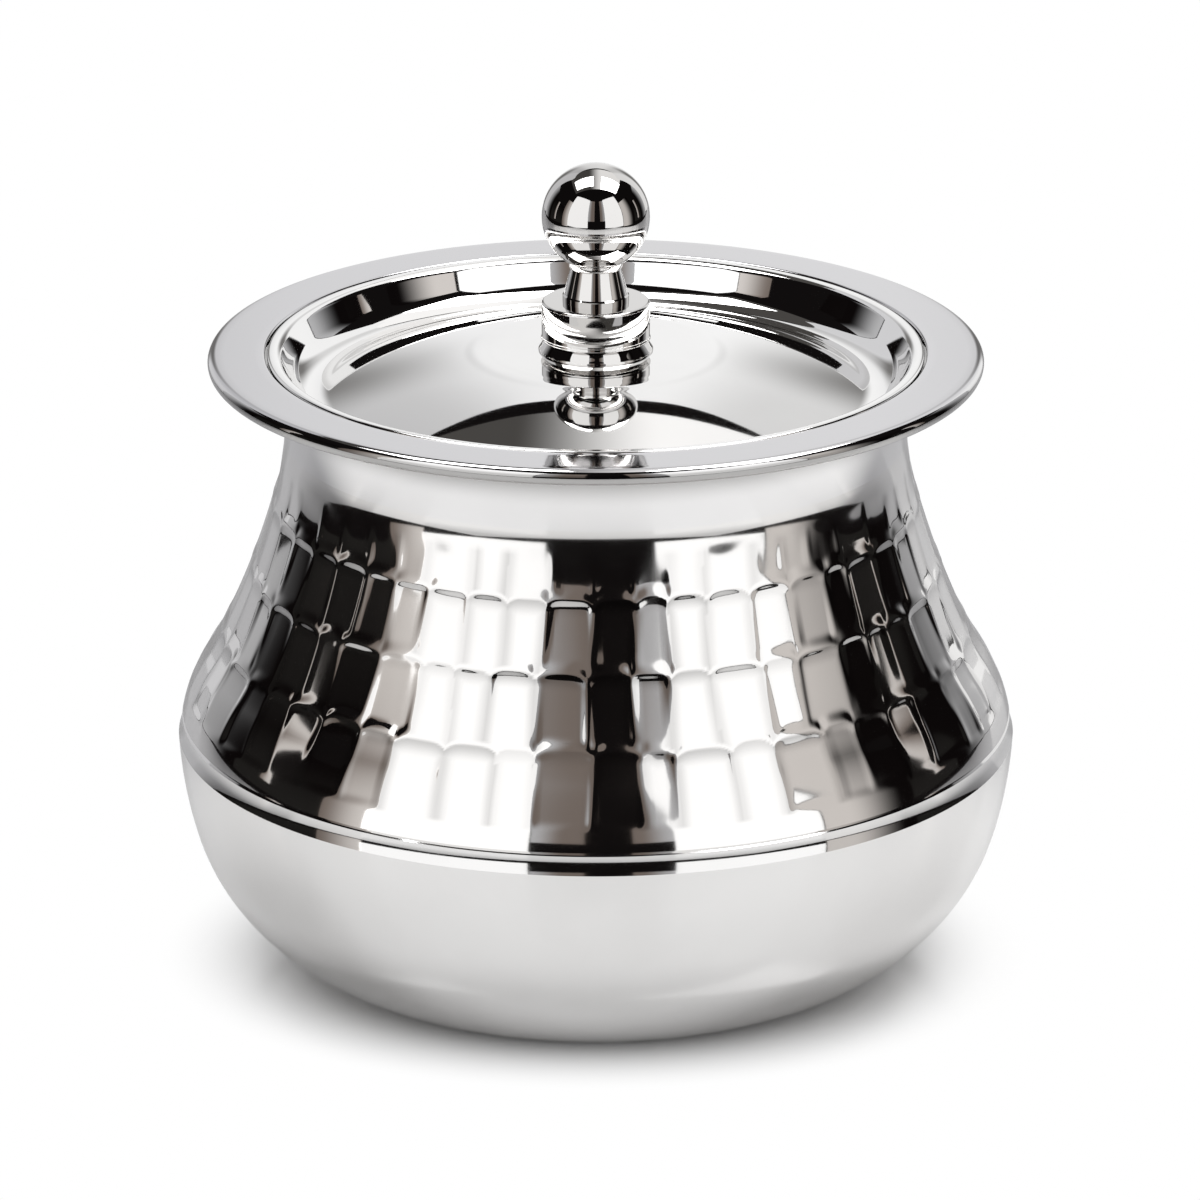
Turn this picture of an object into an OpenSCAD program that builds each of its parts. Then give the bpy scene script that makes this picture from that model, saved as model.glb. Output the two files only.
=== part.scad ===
// Ghee pot of polished steel: a round-bellied pot with a hammered shoulder and a broad
// flat rim, and a dished lid that drops flush into the mouth and lifts off by a ball knob.
// Sizes are millimetres, +Z is up, and the origin is the centre of the base.

/* [Pot] */
// Outer diameter at the belly
belly_d = 121.2; // [115:0.1:128]
// Height of the widest ring, a crease round the belly
belly_z = 35.3; // [34:0.1:37]
// Height of the band above the crease, up to the weld with the shoulder
band_h = 2.9; // [2:0.1:3.5]
// Lean of that band, in degrees from upright
band_lean = 11.5; // [8:0.5:14]
// Height of the rim's top face
pot_h = 92.5; // [90:0.5:98]
// Sheet thickness of the pot
wall = 1; // [0.8:0.1:1.2]
// Radius of the bowl's side, from the crease down
side_r = 59; // [52:1:66]
// How far the centre of that side lies above the crease
side_up = 2.7; // [2:0.1:3.5]
// Radius of the turn from the side into the base
corner_r = 30; // [25:1:34]
// Depth of the groove that marks the weld
seam_v = 0.25; // [0.1:0.05:0.4]

/* [Shoulder] */
// Outer diameter of the neck at its waist
waist_d = 89.4; // [87:0.1:92]
// Height of the rim above the waist
collar_h = 12.4; // [11:0.1:14]
// Height above the crease where the shoulder turns from round to hollow
turn_up = 11.7; // [10:0.1:13]
// How far that turn lies inside the belly's radius
turn_in = 4.4; // [3.8:0.1:5]
// Slope of the shoulder at the turn, in degrees from upright
turn_lean = 34.5; // [29:0.5:39]

/* [Hammer marks] */
// Marks in one row around the pot
marks = 50; // [40:1:56]
// Height of a full row, the top row takes what is left
row_h = 9.9; // [8:0.1:12]
// Depth of a mark
mark_depth = 0.3; // [0.1:0.05:0.4]
// Share of a mark that its rounded edge takes on each side
mark_edge = 0.2; // [0.1:0.05:0.3]
// Plain belt between the weld and the lowest row
belt_h = 2.9; // [2:0.1:4]
// Plain strip between the top row and the waist
strip_h = 2.2; // [1.5:0.1:3.5]

/* [Rim and mouth] */
// Width of the flat rim, from the mouth to its outer edge
rim_w = 8.2; // [7:0.1:10]
// Thickness of the rim's rolled edge
rim_edge = 2.4; // [2:0.1:3]
// How far the mouth that the lid drops into lies outside the waist
mouth_out = 2.6; // [2.4:0.1:3.4]
// Gap between lid and mouth
seat_gap = 0.3; // [0.2:0.05:0.5]
// Rounding of the sheet edges that meet at the mouth
edge_round = 0.4; // [0.2:0.05:0.5]

/* [Lid] */
// Sheet thickness of the lid
lid_sheet = 1; // [0.8:0.1:1.1]
// Width of the lid's flat lip
lip_flat = 0.8; // [0.6:0.1:1.2]
// Radius of the bend from the lip into the dish
lip_bend = 1.4; // [1.3:0.1:1.8]
// Lean of the dish wall, in degrees from upright
dish_lean = 27; // [20:1:35]
// Depth of the dish below the lip
dish_depth = 5.7; // [5:0.1:6.2]
// Radius of the cove at the foot of the dish wall
cove_r = 4.5; // [3.5:0.1:5]
// Slope of the dome where it meets the cove, in degrees
dome_lean = 19; // [16:1:22]
// Diameter of the flat crown that carries the knob
crown_d = 19; // [18.6:0.2:22]
// Height of the crown above the rim
crown_up = 0; // [-0.5:0.1:1.5]

/* [Knob] */
// Diameter of the ball
ball_d = 15.4; // [14:0.1:18]
// Diameter of the stem under the ball
stem_top_d = 7.6; // [7:0.1:8.8]
// Diameter of the stem's foot
stem_foot_d = 9.5; // [9:0.1:11]
// Height of the stem
stem_h = 5.7; // [5.5:0.1:8]
// Height of the stem's foot
stem_foot_h = 0.9; // [0.6:0.1:1.2]
// Height of the neck ring at the stem's top
stem_ring_h = 0.6; // [0.4:0.1:0.8]
// How far the foot and the neck ring stand out from the stem
stem_step = 0.2; // [0.1:0.05:0.3]
// Diameter of the knob's drum
drum_d = 15.5; // [14.6:0.1:17]
// Height of the drum
drum_h = 5.5; // [4.5:0.1:7]
// How far the drum's foot flares out
drum_flare = 0.2; // [0.1:0.05:0.5]
// Height of that flare
flare_h = 1; // [0.5:0.1:1.5]
// Diameter of the hollow-sided ring under the drum, at its foot
seat_d = 16.4; // [16:0.1:18.5]
// Diameter of that ring at its top
seat_top_d = 14.2; // [12:0.1:14.6]
// Height of that ring
seat_h = 1.8; // [1.5:0.1:2.4]
// Thickness of that ring's edge
seat_edge = 0.2; // [0.1:0.05:0.4]

/* [Fasteners] */
// Diameter of the screw that holds the knob
screw_d = 4; // [3:0.5:4]
// Length of the screw inside the stem
screw_grip = 4.2; // [3.5:0.1:4.6]
// Depth of the tapped hole beyond the screw's end
tap_over = 0.4; // [0.2:0.1:0.6]
// Diameter of the screw's head
head_d = 7.6; // [6:0.2:8.6]
// Height of the head
head_h = 2.4; // [1.6:0.1:3]
// How far the head's side tapers in
head_taper = 0.75; // [0:0.05:1]
// Width of the driver slot
slot_w = 1; // [0.8:0.1:1.4]
// Depth of the driver slot
slot_deep = 1.2; // [0.8:0.1:1.4]
// Radial clearance of the screw through the lid, the ring and the drum
screw_gap = 0.2; // [0.1:0.05:0.3]
// Radial clearance of joined threads and spigots
fit_gap = 0.05; // [0.03:0.01:0.1]
// Diameter of the washer under the lid
washer_d = 10; // [9:0.5:12]
// Thickness of the washer
washer_t = 0.8; // [0.5:0.1:1]
// Diameter of the stem's spigot inside the ball
spigot_d = 4; // [3:0.5:5]
// Length of the spigot
spigot_h = 3.5; // [2:0.5:5]

/* [Hidden] */
$fn = 128;

// Steps in a short bend, in the lid's cove and in a long curve, and how far a cutter runs past its face
bend_steps = 6;
cove_steps = 8;
curve_steps = 14;
over = 1;

belly_r = belly_d / 2;
waist_r = waist_d / 2;
waist_z = pot_h - collar_h;
mouth_r = waist_r + mouth_out;
rim_r = mouth_r + rim_w;
lid_r = mouth_r - seat_gap;
crown_z = pot_h + crown_up;
crown_r = crown_d / 2;
screw_r = screw_d / 2;
hole_r = screw_r + screw_gap;
tapped_r = screw_r + fit_gap;
tapped_depth = screw_grip + tap_over;
drum_z = crown_z + seat_h;
stem_z = drum_z + drum_h;
ball_r = ball_d / 2;
ball_flat_z = stem_z + stem_h;
ball_z = ball_flat_z + sqrt(ball_r * ball_r - stem_top_d * stem_top_d / 4);

// Unit vector at an angle in the half-plane of a profile
function unit(a) = [cos(a), sin(a)];

// Points of an arc about c, from angle a0 to angle a1
function arc(c, r, a0, a1, n) = [for (i = [0:n]) c + r * unit(a0 + (a1 - a0) * i / n)];

// Point and direction of a cubic curve with the control points p
function cubic(p, t) =
    pow(1 - t, 3) * p[0] + 3 * t * pow(1 - t, 2) * p[1] + 3 * t * t * (1 - t) * p[2] + pow(t, 3) * p[3];
function cubic_way(p, t) =
    pow(1 - t, 2) * (p[1] - p[0]) + 2 * t * (1 - t) * (p[2] - p[1]) + t * t * (p[3] - p[2]);

// Points of a cubic curve, moved to its right-hand side by d
function cubic_points(p, d, n) = [
    for (i = [0:n]) let (t = i / n, w = cubic_way(p, t)) cubic(p, t) + d / norm(w) * [w[1], -w[0]]
];

function reverse(list) = [for (i = [len(list) - 1:-1:0]) list[i]];

// Bowl: a band leans in from the crease to the weld, and below the crease the side's arc runs
// into the corner's arc where both have the same slope
band_way = [sin(band_lean), -cos(band_lean)];
seam_z = belly_z + band_h;
seam_r = belly_r - band_h * tan(band_lean);
crease_a = asin(side_up / side_r);
side_c = [belly_r, belly_z] - side_r * unit(-crease_a);
meet_a = asin((side_c[1] - corner_r) / (side_r - corner_r));
corner_c = side_c + (side_r - corner_r) * unit(-meet_a);

function bowl_curve(inset) = concat(
    arc(side_c, side_r - inset, -crease_a, -meet_a, curve_steps),
    arc(corner_c, corner_r - inset, -meet_a, -90, curve_steps)
);

module pot_bowl() {
    lip = [
        [seam_r - wall / cos(band_lean), seam_z],
        [seam_r - seam_v, seam_z],
        [seam_r + seam_v * tan(band_lean), seam_z - seam_v]
    ];
    color("gainsboro") rotate_extrude()
        polygon(concat(lip, bowl_curve(0), [[0, 0], [0, wall]], reverse(bowl_curve(wall))));
}

// Shoulder: a hollow flare from the waist to the turn, then a round one to the weld
turn_p = [belly_r - turn_in, belly_z + turn_up];
turn_way = [sin(turn_lean), -cos(turn_lean)];
waist_pull = 6.3;
flare_pull = 8.4;
turn_pull = 3;
seam_pull = 3;
flare = [[waist_r, waist_z], [waist_r, waist_z - waist_pull], turn_p - flare_pull * turn_way, turn_p];
seam_p = [seam_r, seam_z];
swell = [turn_p, turn_p + turn_pull * turn_way, seam_p - seam_pull * band_way, seam_p];

// Place along a falling curve where it reaches the height z, found by halving
function fall_t(p, z, lo = 0, hi = 1, n = 24) =
    let (mid = (lo + hi) / 2)
    n == 0 ? mid : cubic(p, mid)[1] > z ? fall_t(p, z, mid, hi, n - 1) : fall_t(p, z, lo, mid, n - 1);

// Radius of the shoulder at the height z, moved in along the surface's normal by inset
function shoulder_r(z, inset = 0) =
    let (p = z > turn_p[1] ? flare : swell, t = fall_t(p, z), w = cubic_way(p, t))
    cubic(p, t)[0] - inset * norm(w) / abs(w[1]);

// Rows of hammer marks, from the belt up to the plain strip under the waist: a leftover
// below this share of a row is added to the row under it
short_row = 0.2;
hammer_lo = seam_z + belt_h;
hammer_hi = waist_z - strip_h;
rows = ceil((hammer_hi - hammer_lo) / row_h - short_row);
function row_edge(k) = k < rows ? hammer_lo + k * row_h : hammer_hi;

// Each mark is a flat pan inside a rounded edge: [share of the mark, share of its depth]
mark_steps = [[0, 0], [mark_edge, 1], [1 - mark_edge, 1]];

// Ring at the height z of the plain sheet, moved in by inset: [radius, height, depth of the marks there]
function ring(z, depth = 0, inset = 0) = [shoulder_r(z, inset), z, depth];

// Rings of the outside from the weld up
belt_count = 3;
seam_top = seam_z + seam_v;
belt_rings = [for (i = [0:belt_count - 1]) ring(seam_top + (hammer_lo - seam_top) * i / belt_count)];
row_rings = [
    for (k = [0:rows - 1], s = mark_steps)
        ring(row_edge(k) + s[0] * (row_edge(k + 1) - row_edge(k)), s[1] * mark_depth)
];
outer_rings = concat(
    [[seam_r - seam_v, seam_z, 0]],
    belt_rings,
    row_rings,
    [ring(hammer_hi), ring(waist_z)]
);

// Rings of the plain inside from the waist down
inner_count = 8;
inner_rings = [
    for (i = [0:inner_count]) ring(waist_z + (seam_z - waist_z) * i / inner_count, 0, wall)
];

module hammered_shoulder() {
    rings = concat(outer_rings, inner_rings);
    spokes = [for (m = [0:marks - 1], s = mark_steps) [360 * (m + s[0]) / marks, s[1]]];
    n = len(spokes);
    count = len(rings);
    points = [
        for (row = rings, s = spokes)
            let (r = row[0] - row[2] * s[1]) [r * cos(s[0]), r * sin(s[0]), row[1]]
    ];
    faces = [
        for (k = [0:count - 1], j = [0:n - 1])
            let (a = k * n, b = (k + 1) % count * n, next = (j + 1) % n)
                each [[a + j, b + j, b + next], [a + j, b + next, a + next]]
    ];
    color("silver") polyhedron(points, faces);
}

// Lid: the bend of the lip, the leaning dish wall and the cove share tangents
wall_in = unit(180 - dish_lean);
wall_down = -[sin(dish_lean), cos(dish_lean)];
lip_c = [lid_r - lip_flat, pot_h - lip_bend];
cove_z = pot_h - dish_depth + cove_r;
wall_run = (lip_c[1] + (lip_bend + cove_r) * wall_in[1] - cove_z) / cos(dish_lean);
cove_c = lip_c + (lip_bend + cove_r) * wall_in + wall_run * wall_down;

// The dome's side falls ever more steeply from the crown to the cove
crown_pull = 9;
dome_pull = 10;
dome_end = cove_c + cove_r * unit(-90 - dome_lean);
dome = [
    [crown_r, crown_z],
    [crown_r + crown_pull, crown_z],
    dome_end + dome_pull * [-cos(dome_lean), sin(dome_lean)],
    dome_end
];

// The lid's top face from the hole out to the lip, or its underside when d is the sheet
function lid_curve(d) = concat(
    [[hole_r, crown_z - d]],
    cubic_points(dome, d, curve_steps),
    arc(cove_c, cove_r + d, -90 - dome_lean, -dish_lean, cove_steps),
    arc(lip_c, lip_bend - d, 180 - dish_lean, 90, bend_steps)
);

module lid_plate() {
    lip_edge = concat(
        arc([lid_r - edge_round, pot_h - edge_round], edge_round, 90, 0, bend_steps),
        [[lid_r, pot_h - lid_sheet]]
    );
    color("whitesmoke") rotate_extrude()
        polygon(concat(lid_curve(0), lip_edge, reverse(lid_curve(lid_sheet))));
}

// Collar: the neck above the waist, the flat rim with its rolled edge, and the stepped mouth
ledge_z = pot_h - lid_sheet - seat_gap;
under_z = pot_h - wall;
// How far beyond the mouth the neck's hollow runs out into the rim, and its pull at the waist
flare_out = 3.6;
neck_pull = 5.8;
neck = [
    [waist_r, waist_z],
    [waist_r, waist_z + neck_pull],
    [mouth_r, under_z],
    [mouth_r + flare_out, under_z]
];
rim_roll = rim_edge / 2;
rim_c = [rim_r - rim_roll, pot_h - rim_roll];
roll_end = 180 + asin((rim_roll - wall) / rim_roll);

// The funnel under the ledge follows the lid's dish wall at the seat's gap
funnel_d = lip_bend - lid_sheet - seat_gap;
ledge_run = (lip_c[1] + funnel_d * wall_in[1] - ledge_z) / cos(dish_lean);
funnel_top = lip_c + funnel_d * wall_in + ledge_run * wall_down;
funnel_end = cove_c + (cove_r + lid_sheet + seat_gap) * unit(-dish_lean);

module neck_collar() {
    mouth = concat(
        arc([mouth_r + edge_round, pot_h - edge_round], edge_round, 180, 90, bend_steps),
        arc(rim_c, rim_roll, 90, -roll_end, 4 * bend_steps)
    );
    seat = [[waist_r - wall, waist_z], funnel_end, funnel_top, [mouth_r, ledge_z]];
    color("lightgray") rotate_extrude()
        polygon(concat(cubic_points(neck, 0, curve_steps), reverse(mouth), reverse(seat)));
}

// Knob: a hollow-sided ring, a drum, a tapering stem and a ball, strung on one screw
module knob_seat_ring() {
    foot_r = seat_d / 2;
    hollow = [foot_r - seat_top_d / 2, seat_h - seat_edge];
    side = [
        for (p = arc([0, 0], 1, 270, 180, 2 * bend_steps))
            [foot_r + hollow[0] * p[0], seat_h + hollow[1] * p[1]]
    ];
    color("silver") translate([0, 0, crown_z]) rotate_extrude()
        polygon(concat([[hole_r, 0], [foot_r, 0]], side, [[hole_r, seat_h]]));
}

module knob_drum() {
    r = drum_d / 2;
    cove = [[r + drum_flare, 0], [r + drum_flare, flare_h / 2], [r, flare_h / 2], [r, flare_h]];
    color("silver") translate([0, 0, drum_z]) rotate_extrude()
        polygon(concat(
            [[hole_r, 0]],
            cubic_points(cove, 0, bend_steps),
            arc([r - edge_round, drum_h - edge_round], edge_round, 0, 90, bend_steps),
            [[hole_r, drum_h]]
        ));
}

module knob_stem() {
    foot_r = stem_foot_d / 2;
    top_r = stem_top_d / 2;
    color("silver") translate([0, 0, stem_z]) rotate_extrude()
        polygon([
            [tapped_r, 0],
            [foot_r, 0],
            [foot_r, stem_foot_h],
            [foot_r - stem_step, stem_foot_h + stem_step],
            [top_r - stem_step, stem_h - stem_ring_h - stem_step],
            [top_r, stem_h - stem_ring_h],
            [top_r, stem_h],
            [spigot_d / 2, stem_h],
            [spigot_d / 2, stem_h + spigot_h],
            [0, stem_h + spigot_h],
            [0, tapped_depth],
            [tapped_r, tapped_depth]
        ]);
}

module knob_ball() {
    socket_r = spigot_d / 2 + fit_gap;
    color("silver") difference() {
        translate([0, 0, ball_z]) sphere(r = ball_r);
        translate([-ball_r, -ball_r, ball_flat_z - ball_d]) cube(ball_d);
        translate([0, 0, ball_flat_z - over]) cylinder(r = socket_r, h = spigot_h + fit_gap + over);
    }
}

// Washer and screw under the lid
washer_z = crown_z - lid_sheet - washer_t;

module knob_washer() {
    color("darkgray") translate([0, 0, washer_z]) difference() {
        cylinder(d = washer_d, h = washer_t);
        translate([0, 0, -over]) cylinder(r = hole_r, h = washer_t + 2 * over);
    }
}

module knob_screw() {
    color("gray") translate([0, 0, washer_z]) difference() {
        union() {
            translate([0, 0, -head_h]) cylinder(d1 = head_d - 2 * head_taper, d2 = head_d, h = head_h);
            cylinder(r = screw_r, h = stem_z + screw_grip - washer_z);
        }
        translate([-head_d, -slot_w / 2, -head_h - over]) cube([2 * head_d, slot_w, slot_deep + over]);
    }
}

pot_bowl();
hammered_shoulder();
neck_collar();
lid_plate();
knob_seat_ring();
knob_drum();
knob_stem();
knob_ball();
knob_washer();
knob_screw();
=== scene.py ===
import math
import random

import bpy
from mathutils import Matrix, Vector


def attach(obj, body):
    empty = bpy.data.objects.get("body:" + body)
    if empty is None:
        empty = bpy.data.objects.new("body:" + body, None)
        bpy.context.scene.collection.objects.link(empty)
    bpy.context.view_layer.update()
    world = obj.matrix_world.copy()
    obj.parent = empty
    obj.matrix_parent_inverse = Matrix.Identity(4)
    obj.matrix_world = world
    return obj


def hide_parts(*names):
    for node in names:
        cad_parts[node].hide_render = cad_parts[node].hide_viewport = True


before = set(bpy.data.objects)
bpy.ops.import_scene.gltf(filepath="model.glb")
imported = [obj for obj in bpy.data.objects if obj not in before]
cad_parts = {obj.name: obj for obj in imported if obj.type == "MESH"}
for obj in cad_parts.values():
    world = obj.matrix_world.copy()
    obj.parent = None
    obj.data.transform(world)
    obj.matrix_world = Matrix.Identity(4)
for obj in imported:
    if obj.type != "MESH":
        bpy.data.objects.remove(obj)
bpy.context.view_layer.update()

mm = 0.001
print("frame loaded:", len(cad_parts), "nodes")


# profile helpers, all in millimetres as (radius, height)
def arcPoints(centre, radius, fromDeg, toDeg, steps):
    points = []
    for i in range(steps + 1):
        a = math.radians(fromDeg + (toDeg - fromDeg) * i / steps)
        points.append((centre[0] + radius * math.cos(a), centre[1] + radius * math.sin(a)))
    return points


def curveAt(curve, t):
    s = 1 - t
    weights = (s ** 3, 3 * t * s * s, 3 * t * t * s, t ** 3)
    return tuple(sum(w * p[k] for w, p in zip(weights, curve)) for k in (0, 1))


def curveWay(curve, t):
    s = 1 - t
    weights = (s * s, 2 * s * t, t * t)
    way = [sum(w * (q[k] - p[k]) for w, p, q in zip(weights, curve, curve[1:])) for k in (0, 1)]
    length = math.hypot(*way)
    return way[0] / length, way[1] / length


def moved(point, way, far):
    return tuple(point[k] + far * way[k] for k in (0, 1))


# points along a cubic curve, moved to its right-hand side by offset
def curvePoints(curve, steps, offset=0):
    points = []
    for i in range(steps + 1):
        way = curveWay(curve, i / steps)
        points.append(moved(curveAt(curve, i / steps), (way[1], -way[0]), offset))
    return points


# place along a falling curve where it reaches a height
def dropTo(curve, height):
    low, high = 0.0, 1.0
    for _ in range(40):
        mid = (low + high) / 2
        if curveAt(curve, mid)[1] > height:
            low = mid
        else:
            high = mid
    return low


def nothingSelected():
    if bpy.context.mode != "OBJECT":
        bpy.ops.object.mode_set(mode="OBJECT")
    bpy.ops.object.select_all(action="DESELECT")


# a plane is shrunk to a point, the point is drawn out along the profile, and the line is screwed round Z
def lathePiece(name, profile, steps, smoothDeg=40):
    nothingSelected()
    bpy.ops.mesh.primitive_plane_add(size=0.01)
    piece = bpy.context.object
    piece.name = piece.data.name = name
    bpy.ops.object.mode_set(mode="EDIT")
    bpy.ops.mesh.select_all(action="SELECT")
    bpy.ops.mesh.merge(type="CENTER")
    bpy.ops.transform.translate(value=(profile[0][0] * mm, 0, profile[0][1] * mm))
    for p, q in zip(profile, profile[1:]):
        step = ((q[0] - p[0]) * mm, 0, (q[1] - p[1]) * mm)
        bpy.ops.mesh.extrude_vertices_move(TRANSFORM_OT_translate={"value": step})
    bpy.ops.object.mode_set(mode="OBJECT")
    turn = piece.modifiers.new("turn", "SCREW")
    turn.axis, turn.angle = "Z", 2 * math.pi
    turn.steps = turn.render_steps = steps
    bpy.ops.object.modifier_apply(modifier="turn")
    bpy.ops.object.mode_set(mode="EDIT")
    bpy.ops.mesh.select_all(action="SELECT")
    bpy.ops.mesh.remove_doubles(threshold=2e-7)  # closes the seam and the poles
    bpy.ops.mesh.normals_make_consistent(inside=False)
    bpy.ops.object.mode_set(mode="OBJECT")
    bpy.ops.object.shade_smooth_by_angle(angle=math.radians(smoothDeg))
    return piece


def dressPiece(piece, body, node, material):
    piece.data.materials.clear()
    piece.data.materials.append(material)
    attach(piece, body)
    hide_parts(node)


# shader helpers: each adds a node to a tree and gives back what it puts out
def addMath(tree, operation, *values, clamp=False):
    node = tree.nodes.new("ShaderNodeMath")
    node.operation, node.use_clamp = operation, clamp
    for socket, value in zip(node.inputs, values):
        if isinstance(value, (int, float)):
            socket.default_value = value
        else:
            tree.links.new(value, socket)
    return node.outputs[0]


def addRamp(tree, value, between, start=0, end=1, kind="SMOOTHSTEP"):
    node = tree.nodes.new("ShaderNodeMapRange")
    node.interpolation_type = kind
    node.inputs["From Min"].default_value, node.inputs["From Max"].default_value = between
    node.inputs["To Min"].default_value, node.inputs["To Max"].default_value = start, end
    tree.links.new(value, node.inputs["Value"])
    return node.outputs[0]


def addBlend(tree, factor, first, second):
    node = tree.nodes.new("ShaderNodeMix")
    node.data_type = "RGBA"
    tree.links.new(factor, node.inputs["Factor"])
    for key, colour in (("A", first), ("B", second)):
        if isinstance(colour, tuple):
            node.inputs[key].default_value = (*colour, 1)
        else:
            tree.links.new(colour, node.inputs[key])
    return node.outputs["Result"]


def addAxes(tree, place):
    node = tree.nodes.new("ShaderNodeSeparateXYZ")
    tree.links.new(place, node.inputs[0])
    return node.outputs


# polish: fine turning lines that run round the piece, soft smears and slow waves
polishLook = {"lineScale": 2600, "lineShare": 0.012, "smearScale": 55, "smearFrom": (0.45, 0.75),
              "waveScale": 38, "bumpH": 0.2}


def makePolishGroup():
    group = bpy.data.node_groups.new("polish", "ShaderNodeTree")
    face = group.interface
    face.new_socket("Place", in_out="INPUT", socket_type="NodeSocketVector")
    for name, value in (("Haze", 0.04), ("Smear", 0.04), ("Lines", 1.0), ("Waves", 1.0)):
        face.new_socket(name, in_out="INPUT", socket_type="NodeSocketFloat").default_value = value
    for name in ("Roughness", "Height", "Tone"):
        face.new_socket(name, in_out="OUTPUT", socket_type="NodeSocketFloat")
    given, result = group.nodes.new("NodeGroupInput").outputs, group.nodes.new("NodeGroupOutput").inputs

    def noise(vector, scale, detail):
        node = group.nodes.new("ShaderNodeTexNoise")
        node.inputs["Scale"].default_value = scale
        node.inputs["Detail"].default_value = detail
        group.links.new(vector, node.inputs["Vector"])
        return node.outputs["Fac"]

    axes = addAxes(group, given["Place"])
    squares = [addMath(group, "MULTIPLY", axes[key], axes[key]) for key in ("X", "Y")]
    around = group.nodes.new("ShaderNodeCombineXYZ")
    group.links.new(addMath(group, "SQRT", addMath(group, "ADD", *squares)), around.inputs["X"])
    group.links.new(axes["Z"], around.inputs["Z"])
    lines = addMath(group, "MULTIPLY", noise(around.outputs[0], polishLook["lineScale"], 3), given["Lines"])
    lines = addMath(group, "MULTIPLY", lines, polishLook["lineShare"])
    smears = noise(given["Place"], polishLook["smearScale"], 4)
    smear = addRamp(group, smears, polishLook["smearFrom"], kind="LINEAR")
    waves = noise(given["Place"], polishLook["waveScale"], 1)
    hazy = addMath(group, "MULTIPLY_ADD", smear, given["Smear"], given["Haze"])
    group.links.new(addMath(group, "ADD", hazy, lines), result["Roughness"])
    group.links.new(addMath(group, "MULTIPLY_ADD", waves, given["Waves"], lines), result["Height"])
    group.links.new(smear, result["Tone"])
    return group


polish = makePolishGroup()


def makeSteel(name, settings):
    material = bpy.data.materials.new(name)
    material.use_nodes = True
    tree = material.node_tree
    nodes, links = tree.nodes, tree.links
    shader = nodes["Principled BSDF"]
    shader.inputs["Metallic"].default_value = 1
    place = nodes.new("ShaderNodeTexCoord").outputs["Object"]
    effect = nodes.new("ShaderNodeGroup")
    effect.node_tree = polish
    links.new(place, effect.inputs["Place"])
    for key in ("Haze", "Smear", "Lines", "Waves"):
        effect.inputs[key].default_value = settings[key]
    colour = addBlend(tree, effect.outputs["Tone"], settings["clean"], settings["smeared"])
    rough = effect.outputs["Roughness"]

    def heightMask(between):
        return addRamp(tree, addAxes(tree, place)["Z"], between)

    if "underRimShade" in settings:  # painted shade in the hollow below the rim, standing in for the rim's shadow and the darker shoulder that the neck mirrors there
        under = settings["underRimShade"]
        underRimShadeMask = addMath(tree, "SUBTRACT", heightMask(under["from"]), heightMask(under["until"]), clamp=True)
        colour = addBlend(tree, underRimShadeMask, colour, under["colour"])
    if "satin" in settings:  # a flat face that is brushed instead of polished
        face = heightMask(settings["satin"]["between"])
        colour = addBlend(tree, face, colour, settings["satin"]["colour"])
        rough = addMath(tree, "MULTIPLY_ADD", face, settings["satin"]["haze"], rough)
    if "paintedEdgeShade" in settings:  # painted shade along the ridges and row tops of the hammer marks, standing in for the grey they mirror
        edge = nodes.new("ShaderNodeAttribute")
        edge.attribute_name = "paintedEdgeShade"
        colour = addBlend(tree, edge.outputs["Fac"], colour, settings["paintedEdgeShade"])
    links.new(colour, shader.inputs["Base Color"])
    links.new(rough, shader.inputs["Roughness"])
    bump = nodes.new("ShaderNodeBump")
    bump.inputs["Strength"].default_value = settings["bump"]
    bump.inputs["Distance"].default_value = polishLook["bumpH"] * mm
    links.new(effect.outputs["Height"], bump.inputs["Height"])
    links.new(bump.outputs["Normal"], shader.inputs["Normal"])
    return material


steelLook = {
    "bowl": {"Haze": 0.045, "Smear": 0.03, "Lines": 1.0, "Waves": 0.8, "bump": 0.12,
             "clean": (0.73, 0.725, 0.72), "smeared": (0.70, 0.695, 0.69)},
    # the hammered steel's darkest colour is painted shade along the ridges and row tops of its marks
    "hammered": {"Haze": 0.05, "Smear": 0.03, "Lines": 0.3, "Waves": 0.6, "bump": 0.1,
                 "clean": (0.80, 0.79, 0.78), "smeared": (0.77, 0.76, 0.75), "paintedEdgeShade": (0.38, 0.375, 0.37)},
    "collar": {"Haze": 0.03, "Smear": 0.03, "Lines": 0.8, "Waves": 0.5, "bump": 0.1,
               "clean": (0.78, 0.775, 0.775), "smeared": (0.75, 0.745, 0.745),
               # the collar's darker colour below the rim is painted shade
               "underRimShade": {"from": (0.0835, 0.0885), "until": (0.0916, 0.092),
                            "colour": (0.42, 0.415, 0.41)},
               "satin": {"between": (0.0921, 0.0924), "colour": (0.62, 0.615, 0.63), "haze": 0.02}},
    "lid": {"Haze": 0.025, "Smear": 0.02, "Lines": 0.6, "Waves": 0.4, "bump": 0.1,
            "clean": (0.88, 0.875, 0.87), "smeared": (0.85, 0.845, 0.84)},
    "knob": {"Haze": 0.015, "Smear": 0.02, "Lines": 0.4, "Waves": 0.0, "bump": 0.08,
             "clean": (0.66, 0.65, 0.64), "smeared": (0.63, 0.62, 0.61)},
    "fastener": {"Haze": 0.28, "Smear": 0.12, "Lines": 3.0, "Waves": 0.2, "bump": 0.4,
                 "clean": (0.56, 0.56, 0.56), "smeared": (0.5, 0.5, 0.5)},
}
steel = {key: makeSteel(key + "Steel", look) for key, look in steelLook.items()}
print("materials made:", len(steel))

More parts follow.
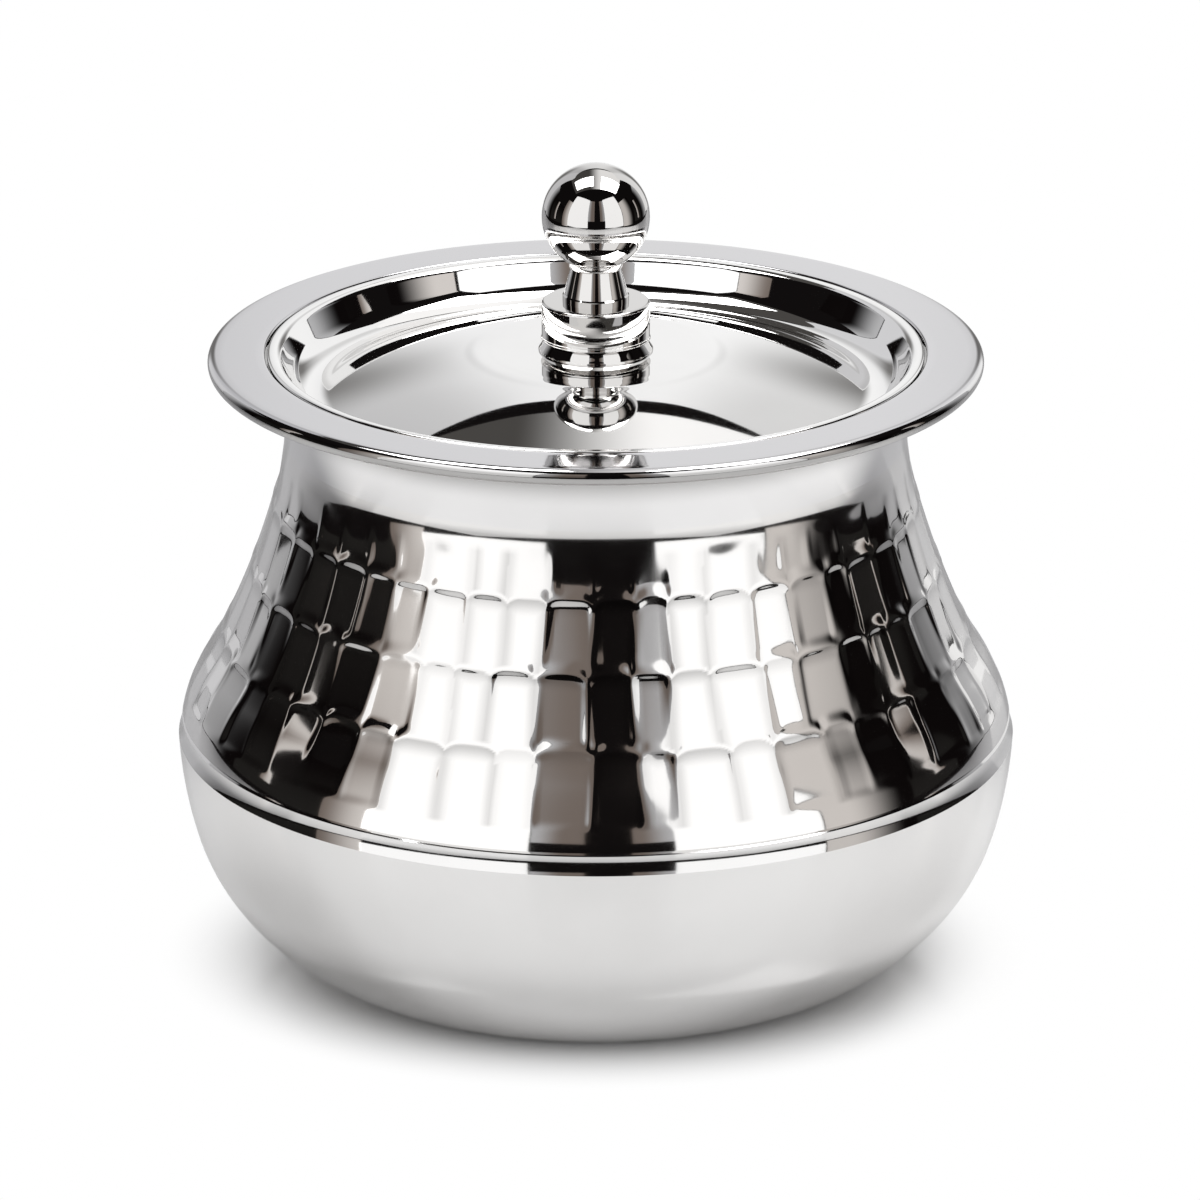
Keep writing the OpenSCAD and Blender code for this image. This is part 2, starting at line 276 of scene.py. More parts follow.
# bowl: flat base, tight turn, long side up to the crease at the belly, and a band that leans in to the weld
bowl = {"bellyR": 60.6, "bellyZ": 35.3, "bandH": 2.9, "bandLean": 11.5, "bandHollow": 0.09, "wall": 1,
        "sideR": 59, "sideUp": 2.7, "cornerR": 30, "seam": 0.25, "spokes": 288}
bandRad = math.radians(bowl["bandLean"])
seamZ = bowl["bellyZ"] + bowl["bandH"]
seamR = bowl["bellyR"] - bowl["bandH"] * math.tan(bandRad)
creaseDeg = math.degrees(math.asin(bowl["sideUp"] / bowl["sideR"]))
sideC = (bowl["bellyR"] - bowl["sideR"] * math.cos(math.radians(creaseDeg)), bowl["bellyZ"] + bowl["sideUp"])
meetDeg = math.degrees(math.asin((sideC[1] - bowl["cornerR"]) / (bowl["sideR"] - bowl["cornerR"])))
cornerC = (sideC[0] + (bowl["sideR"] - bowl["cornerR"]) * math.cos(math.radians(meetDeg)), bowl["cornerR"])


def bowlCurve(inset, low):
    side = arcPoints(sideC, bowl["sideR"] - inset, -meetDeg, -creaseDeg, 24)
    corner = arcPoints(cornerC, bowl["cornerR"] - inset, -90, -meetDeg, 34)
    return [(0, low)] + [(cornerC[0] * k / 8, low) for k in range(1, 8)] + corner + side[1:]


weldGroove = [(seamR + bowl["seam"] * math.tan(bandRad), seamZ - bowl["seam"]), (seamR - bowl["seam"], seamZ)]
innerLip = [(seamR - bowl["wall"] / math.cos(bandRad), seamZ)]
bandFoot, bandTop = (bowl["bellyR"], bowl["bellyZ"]), weldGroove[0]
band = []  # a shade hollow, so its upper half mirrors the table and its lower half the room
for t in [i / 10 for i in range(1, 10)]:
    straight = [foot + (top - foot) * t for foot, top in zip(bandFoot, bandTop)]
    band.append((straight[0] - 4 * bowl["bandHollow"] * t * (1 - t), straight[1]))
bowlProfile = bowlCurve(0, 0) + band + weldGroove + innerLip + bowlCurve(bowl["wall"], bowl["wall"])[::-1]
potBowl = lathePiece("potBowl", bowlProfile, bowl["spokes"], smoothDeg=8)
dressPiece(potBowl, "pot", "pot_bowl", steel["bowl"])
print("bowl turned:", len(potBowl.data.polygons), "faces")

# shoulder: hollow from the waist to the turn, then round to the weld
shoulder = {"waistR": 44.7, "waistZ": 80.1, "turn": (56.2, 47), "turnLean": 34.5,
            "waistPull": 6.3, "flarePull": 8.4, "turnPull": 3, "seamPull": 3, "spokes": 650}
turnWay = (math.sin(math.radians(shoulder["turnLean"])), -math.cos(math.radians(shoulder["turnLean"])))
seamWay = (-math.sin(bandRad), math.cos(bandRad))
waist, turnAt, seamAt = (shoulder["waistR"], shoulder["waistZ"]), shoulder["turn"], (seamR, seamZ)
flareCurve = [waist, moved(waist, (0, -1), shoulder["waistPull"]),
              moved(turnAt, turnWay, -shoulder["flarePull"]), turnAt]
swellCurve = [turnAt, moved(turnAt, turnWay, shoulder["turnPull"]),
              moved(seamAt, seamWay, shoulder["seamPull"]), seamAt]


# radius and lean of the plain sheet at a height
def sheetAt(height):
    curve = flareCurve if height > turnAt[1] else swellCurve
    t = dropTo(curve, height)
    way = curveWay(curve, t)
    return curveAt(curve, t)[0], way


def sheetPoint(height, inset=0):
    radius, way = sheetAt(height)
    return radius - inset / abs(way[1]), height


# hammer marks: nearly flat pans in rows, with low ridges between neighbours and steps between rows,
# each with a rounded top and its own small slip, slant, tilt and hollow
# some of these set the painted shade along the ridges and under each row's top
hammer = {"columns": 50, "turnBy": 0.3, "rows": [41.1, 51, 60.9, 70.8, 77.9], "depth": 0.08, "flatten": 0.75,
          "dish": 0.02, "dishSpread": 0.03, "sideEdge": 0.9, "topEdge": 1.3, "footEdge": 1.8,
          "lastTopEdge": 5.2, "lastFootEdge": 1.8, "arch": 0.9, "slipAround": 0.2, "slant": 0.06,
          "slipUp": 0.25, "tilt": 0.022, "shadeSide": 1.8, "shadeSideShare": 0.6, "shadeTop": 2.9,
          "shadeRise": 5, "shadeLeast": 0.3, "crowd": 0.45, "ringsPerRow": 28, "deepest": 0.6,
          "smoothDeg": 60, "seed": 12971}
pitch = 2 * math.pi / hammer["columns"]
rowCount = len(hammer["rows"]) - 1

beltRings = [seamZ + bowl["seam"] + (hammer["rows"][0] - seamZ - bowl["seam"]) * i / 8 for i in range(8)]
rowRings = []
for low, high in zip(hammer["rows"], hammer["rows"][1:]):
    for i in range(hammer["ringsPerRow"]):
        t = i / hammer["ringsPerRow"]
        t -= hammer["crowd"] * math.sin(2 * math.pi * t) / (2 * math.pi)
        rowRings.append(low + (high - low) * t)
stripRings = [hammer["rows"][-1] + (waist[1] - hammer["rows"][-1]) * i / 4 for i in range(5)]
outerSheet = [(seamR - bowl["seam"], seamZ)] + [sheetPoint(z) for z in beltRings + rowRings + stripRings]
innerSheet = [sheetPoint(seamZ + (waist[1] - seamZ) * i / 9, bowl["wall"]) for i in range(9, -1, -1)]
sheetProfile = outerSheet + innerSheet + outerSheet[:1]
hammeredShoulder = lathePiece("hammeredShoulder", sheetProfile, shoulder["spokes"])

chance = random.Random(hammer["seed"])


def scatter(amount):
    return chance.uniform(-amount, amount)


marks = {}
for row in range(rowCount):
    for column in range(hammer["columns"]):
        marks[row, column] = {
            "slip": scatter(hammer["slipAround"]), "slant": scatter(hammer["slant"]),  # its left-hand ridge
            "top": scatter(hammer["slipUp"]), "leftTop": scatter(hammer["slipUp"]),
            "dish": hammer["dish"] + scatter(hammer["dishSpread"]),
            "panShade": chance.uniform(hammer["shadeLeast"], 1),
            "tiltAround": scatter(hammer["tilt"]), "tiltUp": scatter(hammer["tilt"]),
        }


# how far a pan has sunk to its full depth at a distance from its edge
def edgeFall(distance, width):
    t = min(1, max(0, distance / width))
    return t * t * (3 - 2 * t)


# where the ridge on the left of a mark runs, counted in marks round the pot
def ridgeAt(row, number, height):
    mark = marks[row, number % hammer["columns"]]
    low, high = hammer["rows"][row:row + 2]
    return number + mark["slip"] + mark["slant"] * (2 * (height - low) / (high - low) - 1)


# which mark lies at a place in a row, half its width, and how far the place is from its middle (-1 to 1)
def markAt(row, turn, height):
    number = math.floor(turn) + 1
    while ridgeAt(row, number, height) > turn:
        number -= 1
    left, right = ridgeAt(row, number, height), ridgeAt(row, number + 1, height)
    return number, (right - left) / 2, 2 * (turn - left) / (right - left) - 1


# the arched edge on top of a row, which neighbouring marks share at their ridge (0.2 is the mean of u ** 4)
def rowTop(row, turn, height):
    if row < 0 or row == rowCount - 1:
        return hammer["rows"][row + 1]
    number, _, u = markAt(row, turn, height)
    mark = marks[row, number % hammer["columns"]]
    corner = marks[row, (number + (u > 0)) % hammer["columns"]]["leftTop"]
    arch = hammer["arch"] * (0.2 - u ** 4)
    return hammer["rows"][row + 1] + arch + mark["top"] * (1 - u * u) + corner * u * u


# depth of the marks at a place, and how much painted shade lies there along the ridges and under each row's
# top
def markDepth(angle, height, radius, lean):
    turn = angle / pitch - hammer["turnBy"]
    row = 0
    while row < rowCount - 1 and height > rowTop(row, turn, height):
        row += 1
    number, half, u = markAt(row, turn, height)
    mark = marks[row, number % hammer["columns"]]
    top, foot = rowTop(row, turn, height), rowTop(row - 1, turn, height)
    halfWidth = half * pitch * radius
    flat = hammer["flatten"] * halfWidth * halfWidth / (2 * radius) * (1 - u * u)
    tilted = mark["tiltAround"] * u * halfWidth + mark["tiltUp"] * (height - (top + foot) / 2) / lean
    pan = edgeFall((1 - abs(u)) * halfWidth, hammer["sideEdge"]) * (mark["dish"] + flat + tilted)
    fall = edgeFall((top - height) / lean, hammer["lastTopEdge" if row == rowCount - 1 else "topEdge"])
    fall *= edgeFall((height - foot) / lean, hammer["lastFootEdge" if row == 0 else "footEdge"])
    panShade = hammer["shadeSideShare"] * (1 - edgeFall((1 - abs(u)) * halfWidth, hammer["shadeSide"]))
    if row < rowCount - 1:
        panShade = max(panShade, 1 - edgeFall((top - height) / lean, hammer["shadeTop"]))
    return max(0, fall * (hammer["depth"] + pan)), panShade * mark["panShade"] * min(1, hammer["shadeRise"] * fall)


sheetCache = {}
group = hammeredShoulder.vertex_groups.new(name="hammerMarks")
paintedEdgeShades = [0.0] * len(hammeredShoulder.data.vertices)
for vertex in hammeredShoulder.data.vertices:
    radius, height = math.hypot(vertex.co.x, vertex.co.y) / mm, vertex.co.z / mm
    angle = math.atan2(vertex.co.y, vertex.co.x)
    ridges = hammer["columns"] * (angle - hammer["turnBy"] * pitch)
    angle -= hammer["crowd"] * math.sin(ridges) / hammer["columns"]  # more lines of points near the ridges
    vertex.co.x, vertex.co.y = radius * mm * math.cos(angle), radius * mm * math.sin(angle)
    key = round(height, 3)
    if key not in sheetCache:
        sheetCache[key] = sheetAt(height)
    sheetR, way = sheetCache[key]
    if abs(radius - sheetR) < bowl["wall"] / 2 and hammer["rows"][0] <= height <= hammer["rows"][-1]:
        depth, paintedEdgeShades[vertex.index] = markDepth(angle, height, radius, abs(way[1]))
        if depth > 0:
            group.add([vertex.index], min(1, depth / hammer["deepest"]), "REPLACE")
nothingSelected()
hammeredShoulder.select_set(True)
bpy.context.view_layer.objects.active = hammeredShoulder
blows = hammeredShoulder.modifiers.new("blows", "DISPLACE")
blows.vertex_group = "hammerMarks"
blows.mid_level = 0
blows.strength = -hammer["deepest"] * mm
bpy.ops.object.modifier_apply(modifier="blows")
hammeredShoulder.vertex_groups.clear()
# the painted shade of each point is kept for the hammered steel's colour
hammeredShoulder.data.attributes.new("paintedEdgeShade", "FLOAT", "POINT").data.foreach_set("value", paintedEdgeShades)
bpy.ops.object.shade_smooth_by_angle(angle=math.radians(hammer["smoothDeg"]))
dressPiece(hammeredShoulder, "pot", "hammered_shoulder", steel["hammered"])
print("shoulder hammered:", len(hammeredShoulder.data.polygons), "faces")

# lid: flat crown with a faint turned wave at its edge, dome, cove, leaning wall and a flush lip
mouth = {"potH": 92.5, "mouthR": 47.3, "gap": 0.3, "edgeRound": 0.4}
lid = {"sheet": 1, "lipFlat": 0.8, "lipBend": 1.4, "lean": 27, "deep": 5.7, "coveR": 4.5, "domeLean": 19,
       "crownR": 14.5, "crownUp": 0, "crownPull": 4.6, "domePull": 10, "waveR": 17.2, "waveHalf": 1.8,
       "waveH": 0.06, "holeR": 2.2, "spokes": 320}
potH, edgeR = mouth["potH"], mouth["edgeRound"]
lidR = mouth["mouthR"] - mouth["gap"]
leanRad = math.radians(lid["lean"])
wallIn = (-math.cos(leanRad), math.sin(leanRad))
wallDown = (-math.sin(leanRad), -math.cos(leanRad))
lipC = (lidR - lid["lipFlat"], potH - lid["lipBend"])
coveZ = potH - lid["deep"] + lid["coveR"]
bothR = lid["lipBend"] + lid["coveR"]
wallRun = (lipC[1] + bothR * wallIn[1] - coveZ) / math.cos(leanRad)
coveC = moved(moved(lipC, wallIn, bothR), wallDown, wallRun)
crownZ = potH + lid["crownUp"]
domeRad = math.radians(lid["domeLean"])
domeEnd = (coveC[0] - lid["coveR"] * math.sin(domeRad), coveC[1] - lid["coveR"] * math.cos(domeRad))
domeWay = (-math.cos(domeRad), math.sin(domeRad))
domeCurve = [(lid["crownR"], crownZ), (lid["crownR"] + lid["crownPull"], crownZ),
             moved(domeEnd, domeWay, lid["domePull"]), domeEnd]


def waved(point):
    off = (point[0] - lid["waveR"]) / lid["waveHalf"]
    return point[0], point[1] + (lid["waveH"] * math.cos(off * math.pi / 2) ** 2 if abs(off) < 1 else 0)


def lidCurve(depth):
    flat = [(lid["holeR"] + (lid["crownR"] - lid["holeR"]) * i / 8, crownZ - depth) for i in range(8)]
    return (flat + [waved(p) for p in curvePoints(domeCurve, 64, depth)]
            + arcPoints(coveC, lid["coveR"] + depth, -90 - lid["domeLean"], -lid["lean"], 28)[1:]
            + arcPoints(lipC, lid["lipBend"] - depth, 180 - lid["lean"], 90, 14))


lipEdge = arcPoints((lidR - edgeR, potH - edgeR), edgeR, 90, 0, 8)
lidProfile = lidCurve(0) + lipEdge + [(lidR, potH - lid["sheet"])] + lidCurve(lid["sheet"])[::-1]
lidPlate = lathePiece("lidPlate", lidProfile + lidProfile[:1], lid["spokes"])
dressPiece(lidPlate, "lid", "lid_plate", steel["lid"])
print("lid spun:", len(lidPlate.data.polygons), "faces")

# collar: neck, flat rim with a rolled edge, and the stepped mouth
collar = {"rimW": 8.2, "rimEdge": 2.4, "flareOut": 3.6, "neckPull": 5.8, "spokes": 320}
rimR = mouth["mouthR"] + collar["rimW"]
underZ = potH - bowl["wall"]
ledgeZ = potH - lid["sheet"] - mouth["gap"]
neckCurve = [waist, moved(waist, (0, 1), collar["neckPull"]),
             (mouth["mouthR"], underZ), (mouth["mouthR"] + collar["flareOut"], underZ)]
rollR = collar["rimEdge"] / 2
rollEnd = 180 + math.degrees(math.asin((rollR - bowl["wall"]) / rollR))
rimRoll = arcPoints((rimR - rollR, potH - rollR), rollR, -rollEnd, 90, 32)
rimTop = [(rimR - rollR + (mouth["mouthR"] + edgeR - rimR + rollR) * i / 6, potH) for i in range(1, 6)]
mouthEdge = arcPoints((mouth["mouthR"] + edgeR, potH - edgeR), edgeR, 90, 180, 8)
funnelD = lid["lipBend"] - lid["sheet"] - mouth["gap"]
ledgeRun = (lipC[1] + funnelD * wallIn[1] - ledgeZ) / math.cos(leanRad)
funnelTop = moved(moved(lipC, wallIn, funnelD), wallDown, ledgeRun)
funnelR = lid["coveR"] + lid["sheet"] + mouth["gap"]
funnelEnd = (coveC[0] + funnelR * math.cos(leanRad), coveC[1] - funnelR * math.sin(leanRad))
funnel = [(mouth["mouthR"], ledgeZ), funnelTop, funnelEnd, (waist[0] - bowl["wall"], waist[1])]
collarProfile = curvePoints(neckCurve, 36) + rimRoll + rimTop + mouthEdge + funnel
neckCollar = lathePiece("neckCollar", collarProfile + collarProfile[:1], collar["spokes"])
dressPiece(neckCollar, "pot", "neck_collar", steel["collar"])
print("collar spun:", len(neckCollar.data.polygons), "faces")

# knob: bevelled ring, drum, stem and ball
knob = {"seatR": 8.2, "seatTopR": 7.1, "seatH": 1.8, "seatEdge": 0.2, "seatPulls": ((7.85, 0.7), (7.5, 1.3)),
        "drumR": 7.75, "drumH": 5.5, "drumFlare": 0.1, "flareH": 0.5, "stemH": 5.7, "stemTopR": 3.8,
        "stemFootR": 4.75, "footH": 0.9, "neckRingH": 0.6, "step": 0.2, "ballR": 7.7, "tappedR": 2.05,
        "tappedDeep": 4.6, "spigotR": 2, "spigotH": 3.5, "fitGap": 0.05, "spokes": 160}
drumZ = crownZ + knob["seatH"]
stemZ = drumZ + knob["drumH"]
ballFlatZ = stemZ + knob["stemH"]
ballZ = ballFlatZ + math.sqrt(knob["ballR"] ** 2 - knob["stemTopR"] ** 2)
ringPulls = [(radius, crownZ + above) for radius, above in knob["seatPulls"]]
ringCurve = [(knob["seatR"], crownZ + knob["seatEdge"]), *ringPulls, (knob["seatTopR"], drumZ)]
ringFoot = [(lid["holeR"], crownZ), (knob["seatR"], crownZ)]
ringProfile = ringFoot + curvePoints(ringCurve, 12) + [(lid["holeR"], drumZ)]
knobSeatRing = lathePiece("knobSeatRing", ringProfile + ringProfile[:1], knob["spokes"])
dressPiece(knobSeatRing, "lid", "knob_seat_ring", steel["knob"])

drumR, flareR, half = knob["drumR"], knob["drumR"] + knob["drumFlare"], knob["flareH"] / 2
drumCurve = [(flareR, drumZ), (flareR, drumZ + half), (drumR, drumZ + half), (drumR, drumZ + 2 * half)]
drumTop = arcPoints((drumR - edgeR, stemZ - edgeR), edgeR, 0, 90, 10)
drumProfile = [(lid["holeR"], drumZ)] + curvePoints(drumCurve, 12) + drumTop + [(lid["holeR"], stemZ)]
knobDrum = lathePiece("knobDrum", drumProfile + drumProfile[:1], knob["spokes"])
dressPiece(knobDrum, "lid", "knob_drum", steel["knob"])

step, footR, neckR, spigotR = knob["step"], knob["stemFootR"], knob["stemTopR"], knob["spigotR"]
footZ, neckZ = stemZ + knob["footH"], ballFlatZ - knob["neckRingH"]
boreZ, spigotZ = stemZ + knob["tappedDeep"], ballFlatZ + knob["spigotH"]
stemHole = [(0, boreZ), (knob["tappedR"], boreZ), (knob["tappedR"], stemZ)]
stemSide = [(footR, stemZ), (footR, footZ), (footR - step, footZ + step), (neckR - step, neckZ - step),
            (neckR, neckZ), (neckR, ballFlatZ), (spigotR, ballFlatZ), (spigotR, spigotZ), (0, spigotZ)]
knobStem = lathePiece("knobStem", stemHole + stemSide, knob["spokes"], smoothDeg=20)
dressPiece(knobStem, "lid", "knob_stem", steel["knob"])

flatDeg = math.degrees(math.asin((ballFlatZ - ballZ) / knob["ballR"]))
socketR, socketZ = spigotR + knob["fitGap"], spigotZ + knob["fitGap"]
ballProfile = ([(0, socketZ), (socketR, socketZ), (socketR, ballFlatZ)]
               + arcPoints((0, ballZ), knob["ballR"], flatDeg, 90, 72)[:-1] + [(0, ballZ + knob["ballR"])])
knobBall = lathePiece("knobBall", ballProfile, knob["spokes"])
dressPiece(knobBall, "lid", "knob_ball", steel["knob"])
for node in ("knob_washer", "knob_screw"):
    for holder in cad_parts[node].material_slots:
        holder.material = steel["fastener"]
print("knob strung")

# table: glossy white, and for the camera it fades to plain white outside the pot's shadow
table = {"halfX": 0.46, "front": -0.52, "back": 0.75, "rough": 0.16, "colour": (0.9, 0.9, 0.9),
         "paintedBackShade": (0.4, 0.4, 0.41), "shadeY": (0.0, 0.11), "shadow": (0.034, 0.053), "wider": 0.82,
         "inSteel": 0.5, "nearY": (-0.056, -0.036)}


def makeTableLook():
    material = bpy.data.materials.new("tableWhite")
    material.use_nodes = True
    tree = material.node_tree
    nodes, links = tree.nodes, tree.links
    shader = nodes["Principled BSDF"]
    shader.inputs["Roughness"].default_value = table["rough"]
    place = nodes.new("ShaderNodeTexCoord").outputs["Object"]
    depth = addAxes(tree, place)["Y"]
    # painted shade: greyer behind the pot, where only the steel's edges show it
    tone = addBlend(tree, addRamp(tree, depth, table["shadeY"]), table["colour"], table["paintedBackShade"])
    links.new(tone, shader.inputs["Base Color"])
    oval = nodes.new("ShaderNodeVectorMath")  # the shadow reaches further at the sides than in front
    oval.operation = "MULTIPLY"
    oval.inputs[1].default_value = (table["wider"], 1, 1)
    links.new(place, oval.inputs[0])
    far = nodes.new("ShaderNodeVectorMath")
    far.operation = "LENGTH"
    links.new(oval.outputs["Vector"], far.inputs[0])
    # the steel shows the white too, at half strength and in front of the pot
    path = nodes.new("ShaderNodeLightPath").outputs
    front = addRamp(tree, depth, table["nearY"], table["inSteel"], 0)
    seen = addMath(tree, "MULTIPLY_ADD", path["Is Glossy Ray"], front, path["Is Camera Ray"], clamp=True)
    share = addMath(tree, "MULTIPLY", addRamp(tree, far.outputs["Value"], table["shadow"]), seen)
    plain = nodes.new("ShaderNodeEmission")
    both = nodes.new("ShaderNodeMixShader")
    for socket, value in zip(both.inputs, (share, shader.outputs[0], plain.outputs[0])):
        links.new(value, socket)
    links.new(both.outputs[0], nodes["Material Output"].inputs["Surface"])
    return material


nothingSelected()
bpy.ops.mesh.primitive_plane_add(size=1)
tableTop = bpy.context.object
tableTop.name = "tableTop"
tableTop.scale = (2 * table["halfX"], table["back"] - table["front"], 1)
tableTop.location = (0, (table["back"] + table["front"]) / 2, 0)
bpy.ops.object.transform_apply(location=True, rotation=False, scale=True)
tableTop.data.materials.append(makeTableLook())
print("table laid")

# lamps: two soft boxes stand in front and two lamps hang overhead, each a plain white area light
lamps = {
    "softBoxLeft": {"azDeg": -39.5, "away": 0.5, "low": 0.03, "high": 0.74, "halfDeg": 22.5, "radiance": 1.3},
    "softBoxRight": {"azDeg": 40, "away": 0.5, "low": 0.03, "high": 0.74, "halfDeg": 20, "radiance": 1.3},
    "lampLeft": {"over": (-0.23, 0.09, 0.75), "size": (0.38, 0.31), "radiance": 6.2},
    "lampRight": {"over": (0.30, 0.05, 0.75), "size": (0.40, 0.40), "radiance": 6.2},
}


# the way from the pot to something that stands round it, counted from the camera's side
def outward(azDeg):
    az = math.radians(azDeg)
    return Vector((math.sin(az), -math.cos(az), 0))


def hangLamp(name, place, aim, size, radiance):
    nothingSelected()
    bpy.ops.object.light_add(type="AREA", location=place)
    lamp = bpy.context.object
    lamp.name = name
    lamp.rotation_mode = "QUATERNION"
    lamp.rotation_quaternion = (aim - place).to_track_quat("-Z", "Y")
    lamp.data.shape = "RECTANGLE"
    lamp.data.size, lamp.data.size_y = size
    lamp.data.energy = radiance * math.pi * size[0] * size[1]
    lamp.visible_camera = False


for name, lamp in lamps.items():
    if "over" in lamp:
        place = Vector(lamp["over"])
        hangLamp(name, place, place * Vector((1, 1, 0)), lamp["size"], lamp["radiance"])
    else:
        middle = Vector((0, 0, (lamp["low"] + lamp["high"]) / 2))
        size = (2 * lamp["away"] * math.tan(math.radians(lamp["halfDeg"])), lamp["high"] - lamp["low"])
        hangLamp(name, outward(lamp["azDeg"]) * lamp["away"] + middle, middle, size, lamp["radiance"])
print("lamps hung:", len(lamps))

# studio cards: the white backdrop and the dim walls and ceiling, shaded from one end to the other
white, dimWhite, black = (1, 1, 1), (0.7, 0.7, 0.715), (0.004, 0.003, 0.003)
taupe, paleTaupe = (0.2, 0.165, 0.145), (0.72, 0.68, 0.65)
greyBlue, dimGrey = (0.5, 0.5, 0.51), (0.016, 0.015, 0.014)
cards = {
    "backdrop": {"azDeg": 180, "away": 0.6, "low": 0, "high": 0.6, "halfDeg": 46,
                 "ends": (white, dimWhite), "spread": (0.45, 0.8), "rise": 0.5,
                 "dim": {"from": (0.05, 0.155), "until": (0.19, 0.26), "fadeUp": (0.2, 0.39), "left": 0.3,
                         "colour": (0.2, 0.195, 0.19)}},
    "backLeft": {"azDeg": -123, "away": 0.7, "low": 0, "high": 0.45, "halfDeg": 11,
                 "ends": (greyBlue, black), "spread": (0, 0.8)},
    "backRight": {"azDeg": 123, "away": 0.7, "low": 0, "high": 0.45, "halfDeg": 11,
                  "ends": (black, greyBlue), "spread": (0.2, 1)},
    "roomLeft": {"azDeg": -100, "away": 0.8, "low": 0, "high": 0.42, "halfDeg": 24,
                 "ends": (dimGrey, black), "along": "Y"},
    "roomRight": {"azDeg": 107, "away": 0.8, "low": 0, "high": 0.42, "halfDeg": 17,
                  "ends": (dimGrey, black), "along": "Y"},
    "slitLeft": {"azDeg": -97, "away": 0.6, "low": 0.06, "high": 0.34, "halfDeg": 2.2,
                 "ends": (taupe, paleTaupe)},
    "slitRight": {"azDeg": 103, "away": 0.6, "low": 0.06, "high": 0.34, "halfDeg": 2.2,
                  "ends": (paleTaupe, taupe)},
    "frontLeft": {"azDeg": -10, "away": 0.9, "low": 0.2, "high": 1.12, "halfDeg": 7,
                  "ends": (greyBlue, taupe), "spread": (0, 0.6)},
    "frontRight": {"azDeg": 15, "away": 0.9, "low": 0.2, "high": 1.12, "halfDeg": 5.5,
                   "ends": (taupe, greyBlue), "spread": (0.2, 1)},
    "sideLeft": {"azDeg": -69, "away": 0.62, "low": 0, "high": 0.55, "halfDeg": 7,
                 "ends": (taupe, paleTaupe)},
    "sideRight": {"azDeg": 76, "away": 0.62, "low": 0, "high": 0.55, "halfDeg": 15,
                  "ends": (paleTaupe, black), "spread": (0.25, 0.85)},
}
ceiling = {"centre": (0, 0.34, 0.95), "size": (1.3, 1.08), "spread": (0.38, 0.6),
           "ends": ((0.07, 0.066, 0.062), (1.08, 1.07, 1.06))}


def glow(card, ends, spread, along="X", dim=None):
    material = bpy.data.materials.new(card.name)
    material.use_nodes = True
    tree = material.node_tree
    axes = addAxes(tree, tree.nodes.new("ShaderNodeTexCoord").outputs["Generated"])
    colour = addBlend(tree, addRamp(tree, axes[along], spread), *ends)
    if dim:  # a dimmer place on each side of the middle, less so towards the top
        off = addMath(tree, "ABSOLUTE", addMath(tree, "SUBTRACT", axes["X"], 0.5))
        near, far = addRamp(tree, off, dim["from"]), addRamp(tree, off, dim["until"])
        sides = addMath(tree, "SUBTRACT", near, far, clamp=True)
        share = addMath(tree, "MULTIPLY", sides, addRamp(tree, axes["Y"], dim["fadeUp"], 1, dim["left"]))
        colour = addBlend(tree, share, colour, dim["colour"])
    lamp = tree.nodes.new("ShaderNodeEmission")
    tree.links.new(colour, lamp.inputs["Color"])
    tree.links.new(lamp.outputs[0], tree.nodes["Material Output"].inputs["Surface"])
    card.data.materials.append(material)
    card.visible_camera = False
    card.visible_shadow = False


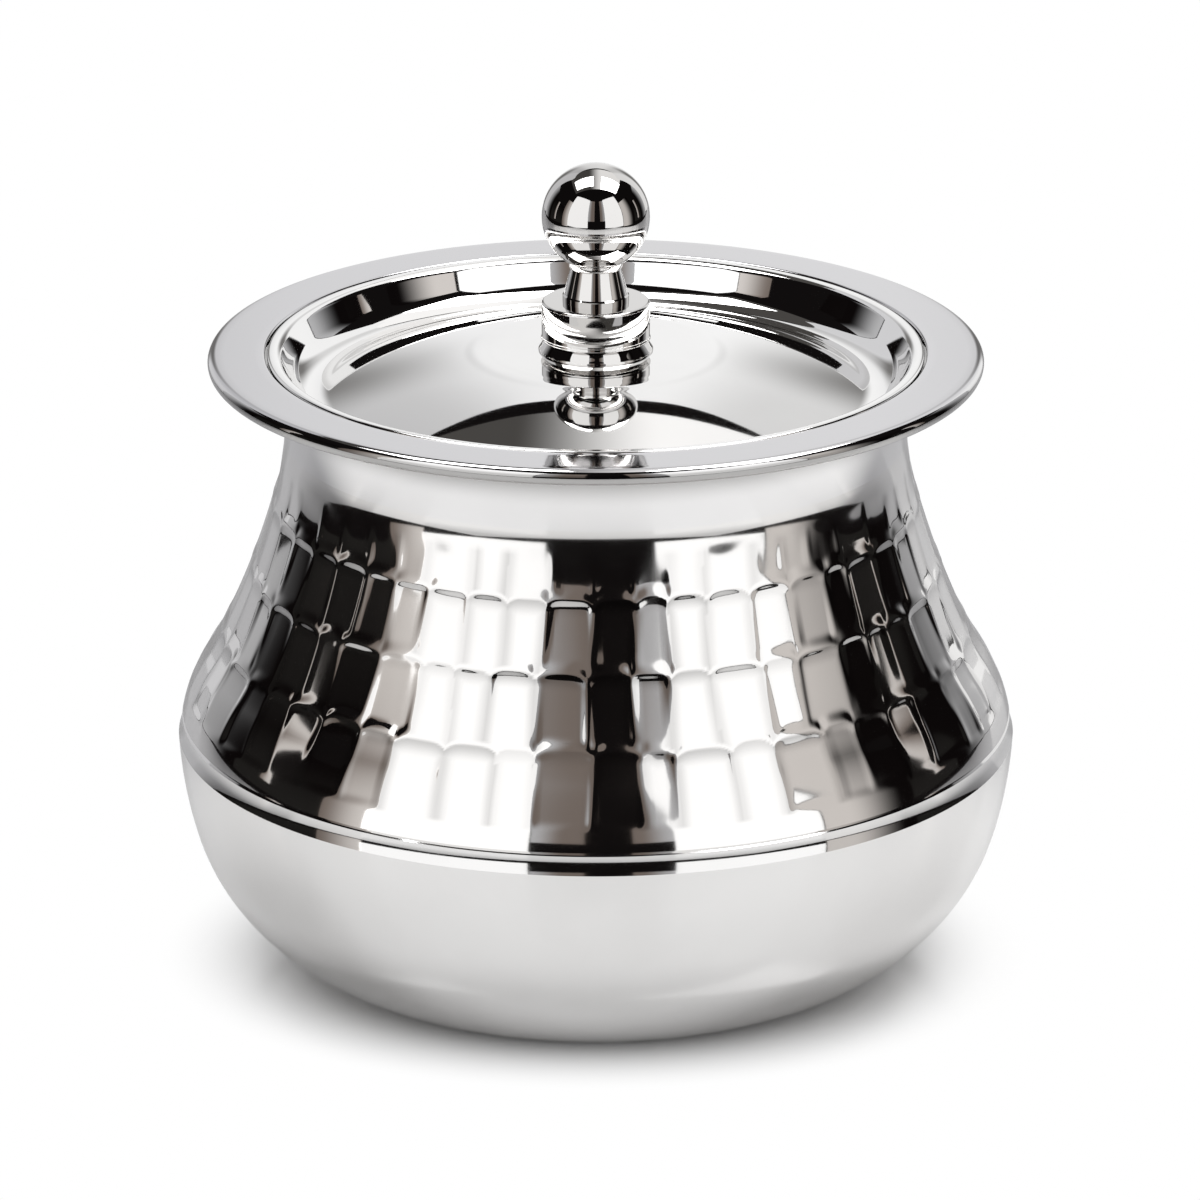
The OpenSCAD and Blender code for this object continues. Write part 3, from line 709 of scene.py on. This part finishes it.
def wallCard(name, azDeg, away, low, high, halfDeg, ends, spread=(0, 1), rise=0, along="X", dim=None):
    nothingSelected()
    bpy.ops.mesh.primitive_grid_add(size=1, x_subdivisions=24, y_subdivisions=1)
    card = bpy.context.object
    card.name = name
    for vertex in card.data.vertices:
        if vertex.co.y > 0:
            vertex.co.y += 4 * rise / (high - low) * vertex.co.x ** 2  # the top edge curves up to its ends
    card.scale = (2 * away * math.tan(math.radians(halfDeg)), high - low, 1)
    card.location = outward(azDeg) * away + Vector((0, 0, (low + high) / 2))
    card.rotation_mode = "QUATERNION"
    card.rotation_quaternion = outward(azDeg).to_track_quat("-Z", "Y")
    if along == "X":  # local X runs from right to left
        ends, spread = ends[::-1], (1 - spread[1], 1 - spread[0])
    glow(card, ends, spread, along, dim)


for name, card in cards.items():
    wallCard(name, **card)
nothingSelected()
bpy.ops.mesh.primitive_plane_add(size=1, location=ceiling["centre"])
ceilingCard = bpy.context.object
ceilingCard.name = "ceiling"
ceilingCard.scale = (*ceiling["size"], 1)
glow(ceilingCard, ceiling["ends"], ceiling["spread"])
print("studio set:", len(cards) + 1, "cards")

# world: plain white behind everything for the camera, a dim room for the steel and the light
worldLook = {"room": (0.006, 0.005, 0.005, 1), "clear": (1, 1, 1, 1)}
world = bpy.data.worlds.new("studio")
bpy.context.scene.world = world
world.use_nodes = True
nodes, links = world.node_tree.nodes, world.node_tree.links
room = nodes["Background"]
room.inputs["Color"].default_value = worldLook["room"]
room.inputs["Strength"].default_value = 1
clear = nodes.new("ShaderNodeBackground")
clear.inputs["Color"].default_value = worldLook["clear"]
path = nodes.new("ShaderNodeLightPath")
either = nodes.new("ShaderNodeMixShader")
links.new(path.outputs["Is Camera Ray"], either.inputs[0])
links.new(room.outputs[0], either.inputs[1])
links.new(clear.outputs[0], either.inputs[2])
links.new(either.outputs[0], nodes["World Output"].inputs["Surface"])

# camera at the height and distance worked out from the rim's ellipse
view = {"distance": 1.1, "upDeg": 19.78, "lookFrom": (0, 0, 0.0475), "aim": (0.0006, 0.0022, 0.0536),
        "lens": 227.58, "sensor": 36, "clip": (0.01, 20)}
up = math.radians(view["upDeg"])
bpy.ops.object.camera_add()
camera = bpy.context.object
camera.location = Vector(view["lookFrom"]) + view["distance"] * Vector((0, -math.cos(up), math.sin(up)))
camera.rotation_mode = "QUATERNION"
camera.rotation_quaternion = (Vector(view["aim"]) - camera.location).to_track_quat("-Z", "Y")
camera.data.sensor_width = view["sensor"]
camera.data.lens = view["lens"]
camera.data.clip_start, camera.data.clip_end = view["clip"]
bpy.context.scene.camera = camera
bpy.context.scene.view_settings.view_transform = "Standard"
print("camera aimed")
